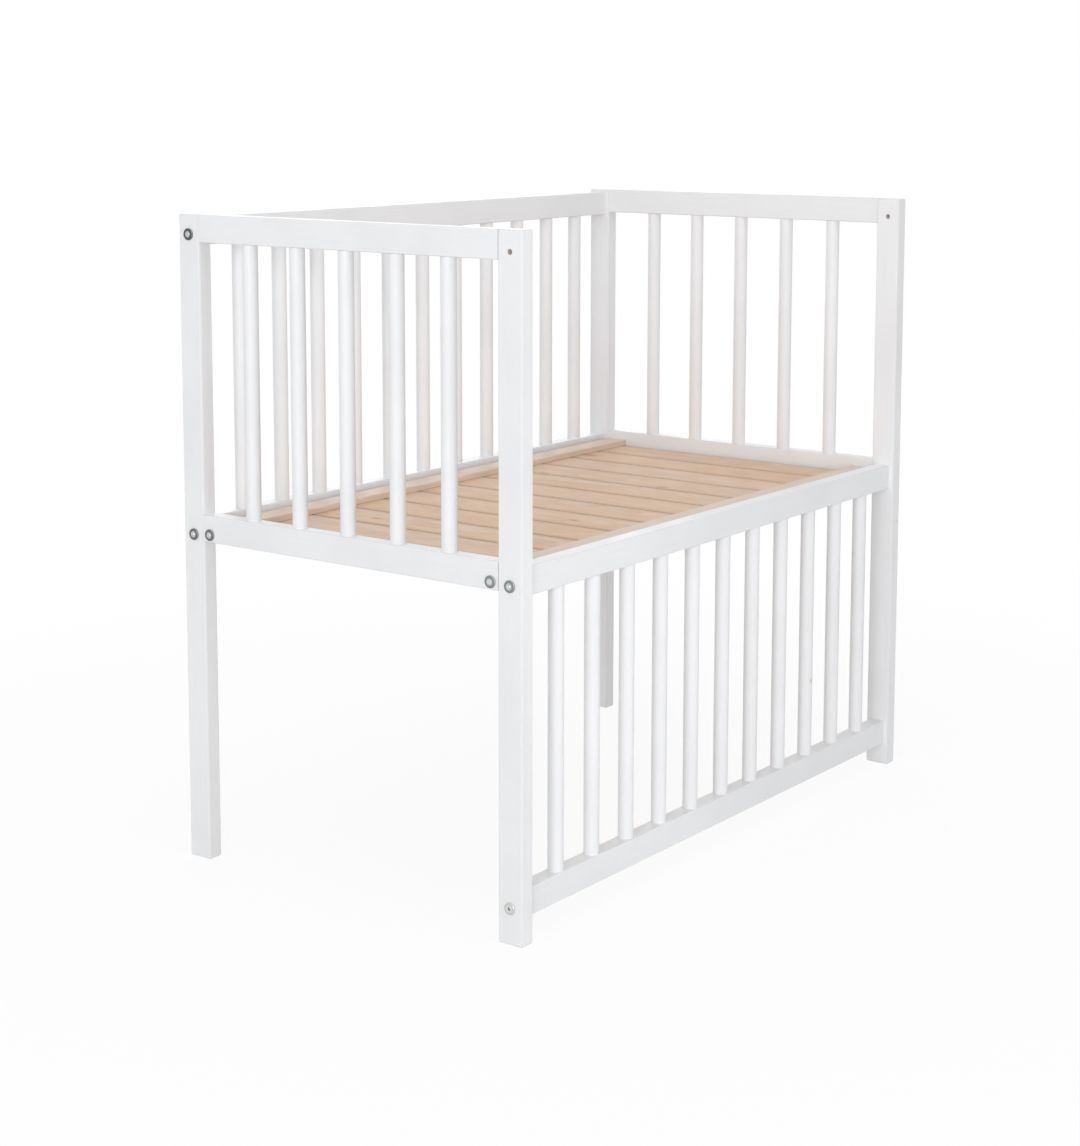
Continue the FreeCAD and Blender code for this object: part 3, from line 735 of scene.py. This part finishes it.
def zinc(name, ring, middle, centre):
    """Zinc plating whose colour goes from the centre over the middle to the ring; ring and centre
    colours are painted reflection.
    """
    made, tree, shader = new_material(name)
    reach = add(tree, "Attribute", attribute_name="from_axis").outputs["Fac"]
    bloom = noise(tree, object_place(tree), BLOOM_SIZE, 3.0)
    uneven = calc(tree, "ADD", reach, ramp(tree, bloom, 0.2, 0.8, -UNEVEN, UNEVEN))
    # Painted reflection: the dark ring, and below it the centre colour in the socket.
    painted_dark_ring = calc(tree, "MULTIPLY", ramp(tree, uneven, *RING_BAND),
                ramp(tree, uneven, *RIM_BAND, 1.0, 0.55))
    layers = [(painted_dark_ring, ring),
              (ramp(tree, reach, *CENTRE_BAND, 0.8, 0.0), centre),
              (ramp(tree, bloom, 0.45, 0.8, 0.0, 0.35), BLOOM)]
    marks = calc(tree, "SINE", calc(tree, "MULTIPLY", reach, math.tau / MARK_GAP))
    pits = relief(tree, bloom, 0.3, 0.00006, over=relief(tree, marks, 0.25, 0.00002))
    wire(tree, shader, layered(tree, middle, layers),
         ramp(tree, bloom, 0.3, 0.7, 0.26, 0.46), pits)
    shader.inputs["Metallic"].default_value = 1.0
    return made


# Lit and shaded copies of one zinc: each is a painted reflection for where its bolts sit.
ZINC = {"deep": zinc("zinc_deep_painted_reflection", linear(70, 74, 74), linear(180, 184, 183), PAINTED_SOCKET_SHINE),
        "dark": zinc("zinc_dark_painted_reflection", linear(98, 102, 101), linear(190, 194, 192), PAINTED_SOCKET_SHINE),
        "grey": zinc("zinc_grey_painted_reflection", linear(130, 136, 138), linear(200, 204, 204), PAINTED_SOCKET_SHINE),
        "bright": zinc("zinc_bright_painted_reflection", linear(200, 204, 202), linear(222, 225, 222),
                       linear(176, 180, 174))}
print("zinc finishes", len(ZINC))

# %% [markdown]
# ## One bolt
#
# Each bolt is made round the Z axis with the underside of its head at zero. The distance from
# the axis is stored while the bolt still stands there, for the zinc to read. One matrix then
# lays the bolt down and moves it to its hole, so that the object stays at the origin with its
# place in its mesh, as the engineering model's pieces do. A seeded random turn about its own
# axis keeps the sockets from lining up, as no one tightens twelve bolts alike.

# %% Make a bolt
SHARP_FROM = 32          # degrees between faces
chance = random.Random(7)


def bolt_shape():
    """A finished bolt on the Z axis, with each vertex's distance from that axis."""
    shape = bmesh.new()
    turned_blank(shape)
    cut_socket(shape)
    cut_thread(shape)
    bmesh.ops.recalc_face_normals(shape, faces=shape.faces)
    from_axis = shape.verts.layers.float.new("from_axis")
    for vert in shape.verts:
        vert[from_axis] = vert.co.xy.length
    return shape


def make_bolt(name, end, seat, finish):
    """Put one bolt at its seat, with its head toward the end, which is -1 or 1 along X."""
    shape = bolt_shape()
    own_turn = Matrix.Rotation(chance.uniform(0, math.tau), 4, "Z")
    lay = Matrix.Rotation(math.radians(90 * end), 4, "Y")
    bmesh.ops.transform(shape, matrix=Matrix.Translation(seat) @ lay @ own_turn,
                        verts=shape.verts)
    mesh = bpy.data.meshes.new(name)
    shape.to_mesh(mesh)
    shape.free()
    mesh.polygons.foreach_set("use_smooth", [True] * len(mesh.polygons))
    mesh.set_sharp_from_angle(angle=math.radians(SHARP_FROM))
    mesh.materials.append(finish)
    piece = bpy.data.objects.new(name, mesh)
    bpy.context.scene.collection.objects.link(piece)
    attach(piece, "root")
    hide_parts("connector_bolts")
    return piece


sample = bolt_shape()
print("a bolt has", len(sample.faces), "faces; closed:", all(e.is_manifold for e in sample.edges))
sample.free()

# %% [markdown]
# ## Twelve bolts in their holes
#
# Each end has six bolts. Four go through the posts, two into the back panel, which sits high,
# and two into the front panel, which sits low. The other two go through the end frame's lower
# rail into the side bars. The seat, the posts' row and the bars' level are measured on the
# pieces, and the other places are the engineering model's.

# %% Place the bolts
post_low, post_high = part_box("rear_right_post")
bar_low, bar_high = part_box("base_rear_bar")
SEAT = post_high.x
POST_ROW = (post_low.y + post_high.y) / 2
BAR_ROW = 0.232
MIDDLE_LEVEL = 0.440
BAR_LEVEL = (bar_low.z + bar_high.z) / 2
# The last column picks each bolt's painted reflection, by where it sits.
BOLTS = [("rear_upper", POST_ROW, UPPER_LEVEL, "deep"),
         ("rear_middle", POST_ROW, MIDDLE_LEVEL, "dark"),
         ("rear_base", BAR_ROW, BAR_LEVEL, "dark"),
         ("front_base", -BAR_ROW, BAR_LEVEL, "grey"),
         ("front_middle", -POST_ROW, MIDDLE_LEVEL, "grey"),
         ("front_lower", -POST_ROW, LOWER_LEVEL, "bright")]

bolts = []
for end_name, end in (("left", -1), ("right", 1)):
    for place_name, row, level, painted_reflection_level in BOLTS:
        name = "bolt_%s_%s" % (end_name, place_name)
        bolts.append(make_bolt(name, end, (SEAT * end, row, level), ZINC[painted_reflection_level]))
print("bolts", len(bolts), "at", round(SEAT, 4), "m from the middle")

# %% [markdown]
# ## Barrel nuts
#
# A barrel nut sits in a cross bore of each rail and catches the bolt's thread. Only its slotted
# foot can be seen, from below, so the engineering model's piece stays and gets plain bright
# steel with a little bloom.

# %% Dress the nuts
NUT_BRIGHT = linear(192, 190, 184)
NUT_DULL = linear(150, 148, 144)


def nut_steel():
    """Plain steel with a soft bloom and fine scratches along the nut."""
    made, tree, shader = new_material("steel_nuts")
    place = object_place(tree)
    bloom = noise(tree, place, 0.0015, 3.0)
    scratches = noise(tree, stretched(tree, place, "Z", 0.1), 0.0004, 2.0)
    wire(tree, shader, blend(tree, bloom, NUT_BRIGHT, NUT_DULL),
         ramp(tree, scratches, 0.3, 0.7, 0.25, 0.45), relief(tree, scratches, 0.3, 0.00003))
    shader.inputs["Metallic"].default_value = 1.0
    return made


dress("barrel_nuts", nut_steel())
print("nuts dressed")

# %% [markdown]
# ## The studio floor
#
# The photograph's ground is pure white. A floor that is simply lit would come out grey, so the
# camera and mirror-like surfaces see it glow at full white, mixed near the crib with a share of
# the really lit floor, which holds the soft shadow. All other light meets a plain white floor.

# %% Floor paper
SHADOW_SHARE = 0.10
SHADOW_START = 0.5       # metres from the middle
SHADOW_REACH = 1.9
LIT_WHITE = (0.97, 0.97, 0.97, 1)
PLAIN_WHITE = (0.86, 0.86, 0.86, 1)
FULL_WHITE = (1, 1, 1, 1)


def seen_directly(tree):
    """1 for a ray from the camera, or one that a glossy or clear surface sends on."""
    path = add(tree, "LightPath").outputs
    seen = calc(tree, "ADD", path["Is Camera Ray"], path["Is Glossy Ray"])
    return calc(tree, "ADD", seen, path["Is Transmission Ray"], clamp=True)


def floor_paper():
    """White paper that glows for the camera and keeps a share of the crib's shadow."""
    made, tree, shader = new_material("studio_floor")
    tree.nodes.remove(shader)
    away = distance(tree, object_place(tree), (0, 0, 0))
    share = ramp(tree, away, SHADOW_START, SHADOW_REACH, SHADOW_SHARE, 0.0)
    lit = add(tree, "BsdfDiffuse", {"Color": LIT_WHITE}).outputs[0]
    plain = add(tree, "BsdfDiffuse", {"Color": PLAIN_WHITE}).outputs[0]
    glow = add(tree, "Emission", {"Color": FULL_WHITE, "Strength": 1.0}).outputs[0]
    shown = add(tree, "MixShader", {0: share, 1: glow, 2: lit}).outputs[0]
    both = add(tree, "MixShader", {0: seen_directly(tree), 1: plain, 2: shown}).outputs[0]
    tree.links.new(both, tree.nodes["Material Output"].inputs["Surface"])
    return made


paper = floor_paper()
print("paper nodes", len(paper.node_tree.nodes))

# %% [markdown]
# A studio has a paper roll that curves up behind the product. In this light a flat sheet does
# the same, because paper and world both show at full white and meet without a line. It is far
# wider than the view, so that its edge is never near the crib.

# %% Floor
FLOOR_HALF = 30.0        # metres

sheet = bmesh.new()
bmesh.ops.create_grid(sheet, x_segments=1, y_segments=1, size=FLOOR_HALF)
floor_mesh = bpy.data.meshes.new("floor")
sheet.to_mesh(floor_mesh)
sheet.free()
floor_mesh.materials.append(paper)
floor = bpy.data.objects.new("floor", floor_mesh)
bpy.context.scene.collection.objects.link(floor)
print("floor", 2 * FLOOR_HALF, "m wide")

# %% [markdown]
# ## Soft light
#
# A white world gives the even light of a bright studio. For the camera it shows at full white,
# so that it meets the floor without a line, and for all other light it is weaker, so that the
# lacquer doesn't clip.

# %% World
WORLD_LIGHT = 0.60

world = bpy.data.worlds.new("studio")
world.use_nodes = True
bpy.context.scene.world = world
sky = world.node_tree
strength = ramp(sky, seen_directly(sky), 0.0, 1.0, WORLD_LIGHT, 1.0, "LINEAR")
sky.links.new(strength, sky.nodes["Background"].inputs["Strength"])
sky.nodes["Background"].inputs["Color"].default_value = FULL_WHITE
print("world light", WORLD_LIGHT)

# %% [markdown]
# Softboxes add direction: a large one far beyond the near end, which lights all faces that look
# that way, also the far ones, one above the near half, which lifts the wood and the rails'
# tops, a weak one behind, so that the lacquer stays white from that side too, and one in front
# of the near end with a narrow spread, whose light falls off along the crib, so that the front
# rail gets darker toward its far end as in the photograph. Each share is what the lamp adds to
# a white card that faces it. A narrow spread gathers a lamp's light in its middle, so the energy
# is brought down by the same factor.

# %% Softboxes
CRIB_MIDDLE = (0.0, 0.0, 0.43)
FULL_SPREAD = 180        # degrees
SOFTBOXES = [("end_softbox", (-6.0, -2.4, 1.4), CRIB_MIDDLE, 2.6, 0.28, FULL_SPREAD),
             ("top_softbox", (-0.63, -0.38, 2.5), CRIB_MIDDLE, 1.5, 0.18, FULL_SPREAD),
             ("back_softbox", (2.8, 3.0, 1.6), CRIB_MIDDLE, 2.8, 0.18, FULL_SPREAD),
             ("front_softbox", (-0.6, -3.0, 0.65), (-0.6, 0.0, 0.42), 0.9, 0.235, 62)]


def softbox(name, place, aim, size, share, spread):
    """A square lamp at a place, aimed at a point; share is for a white card at that point."""
    lamp = bpy.data.lights.new(name, "AREA")
    lamp.shape = "SQUARE"
    lamp.size = size
    lamp.spread = math.radians(spread)
    back = Vector(place) - Vector(aim)
    lamp.energy = share * math.pi ** 2 * back.length_squared
    if spread < FULL_SPREAD:
        half = math.radians(spread / 2)
        lamp.energy *= 1 - half / math.tan(half)
    hung = bpy.data.objects.new(name, lamp)
    bpy.context.scene.collection.objects.link(hung)
    hung.location = place
    hung.rotation_euler = back.to_track_quat("Z", "Y").to_euler()
    hung.visible_camera = False
    return lamp.energy


for box in SOFTBOXES:
    print(box[0], round(softbox(*box), 1), "W")
